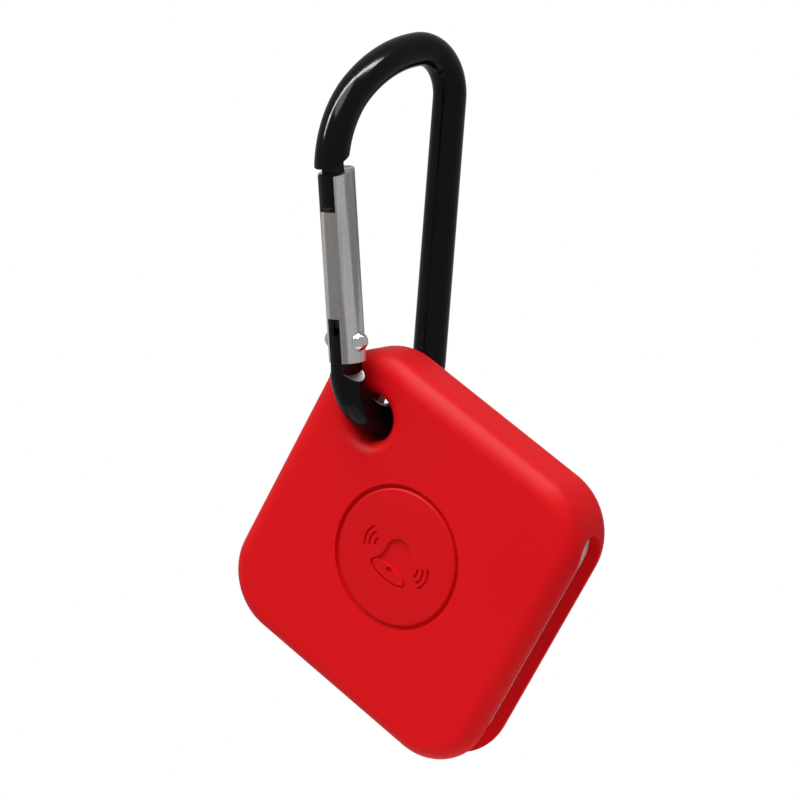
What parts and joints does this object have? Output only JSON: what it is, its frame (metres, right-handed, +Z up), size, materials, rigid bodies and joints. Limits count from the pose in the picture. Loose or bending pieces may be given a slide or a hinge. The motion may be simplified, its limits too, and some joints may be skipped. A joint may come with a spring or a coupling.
{
  "type": "bluetooth tracker tag",
  "caption": "Square tracker tag in a soft silicone sleeve with a press pad and a corner hole, hung on a small snap-hook carabiner with a sprung gate.",
  "frame": {"origin": "inside of the top bend of the carabiner, where it rests on the hook it hangs from", "axes": "+Z up; -Y out of the front face of the tag, the face with the bell; +X to the right of someone who looks at that face"},
  "size_m": [0.0478, 0.0244, 0.0845],
  "materials": {
    "silicone_sleeve": "matte red silicone",
    "sleeve_press_pad": "matte red silicone",
    "carabiner_frame": "black anodised, glossy",
    "gate_bar": "bare drawn aluminium, satin",
    "gate_pin": "polished steel rivet",
    "gate_plunger": "blackened brass",
    "gate_spring": "spring wire",
    "front_shell": "white moulded plastic",
    "rear_shell": "white moulded plastic",
    "button_cap": "white moulded plastic",
    "circuit_board": "green solder mask",
    "bluetooth_chip": "black moulded package",
    "main_crystal": "nickel lid",
    "clock_crystal": "nickel lid",
    "chip_antenna": "white ceramic",
    "chip_capacitors": "tan ceramic, tinned ends",
    "switch_base": "black moulded base",
    "switch_stem": "black plunger",
    "switch_dome": "spring steel dome",
    "battery_can": "nickel plated steel",
    "battery_cap": "nickel plated steel",
    "battery_gasket": "black gasket",
    "battery_core": "grey electrode stack",
    "positive_contact": "plated spring brass",
    "negative_contact": "plated pad",
    "sounder_disc": "brass disc",
    "sounder_ceramic": "piezo ceramic",
    "sounder_tape": "adhesive tape",
    "sounder_contacts": "plated spring steel"
  },
  "bodies": {
    "carabiner": {"carabiner_frame": "carabiner_frame"},
    "gate": {"gate_bar": "gate_bar", "gate_pin": "gate_pin", "gate_spring": "gate_spring"},
    "plunger": {"gate_plunger": "gate_plunger"},
    "tag": {"silicone_sleeve": "silicone_sleeve", "front_shell": "front_shell", "rear_shell": "rear_shell", "circuit_board": "circuit_board", "bluetooth_chip": "bluetooth_chip", "main_crystal": "main_crystal", "clock_crystal": "clock_crystal", "chip_antenna": "chip_antenna", "chip_capacitors": "chip_capacitors", "switch_base": "switch_base", "battery_can": "battery_can", "battery_cap": "battery_cap", "battery_gasket": "battery_gasket", "battery_core": "battery_core", "positive_contact": "positive_contact", "negative_contact": "negative_contact", "sounder_disc": "sounder_disc", "sounder_ceramic": "sounder_ceramic", "sounder_tape": "sounder_tape", "sounder_contacts": "sounder_contacts"},
    "button": {"sleeve_press_pad": "sleeve_press_pad", "button_cap": "button_cap", "switch_stem": "switch_stem", "switch_dome": "switch_dome"}
  },
  "joints": [
    {"name": "gate_hinge", "type": "hinge", "parent": "carabiner", "child": "gate", "pos_m": [-0.00178, -0.01268, -0.03117], "axis": [-0.9903, 0.1392, 0], "range_deg": [0, 26], "stiffness_Nm_per_rad": 0.02, "springref_deg": -28.65},
    {"name": "plunger_slide", "type": "slide", "parent": "gate", "child": "plunger", "axis": [-0.012, -0.085, 0.9963], "range_m": [0, 0.0003], "stiffness_N_per_m": 0.01197, "springref_m": 0.1, "deforming": ["gate_spring"]},
    {"name": "tag_swing", "type": "hinge", "parent": "carabiner", "child": "tag", "pos_m": [-0.00077, -0.00545, -0.04057], "axis": [0, 1, 0], "range_deg": [-70, 95]},
    {"name": "button_press", "type": "slide", "parent": "tag", "child": "button", "axis": [0, 1, 0], "range_m": [0, 0.0002], "stiffness_N_per_m": 4000}
  ],
  "couplings": [
    {"joint": "plunger_slide", "follows": "gate_hinge", "m_per_rad": 0.00057}
  ]
}
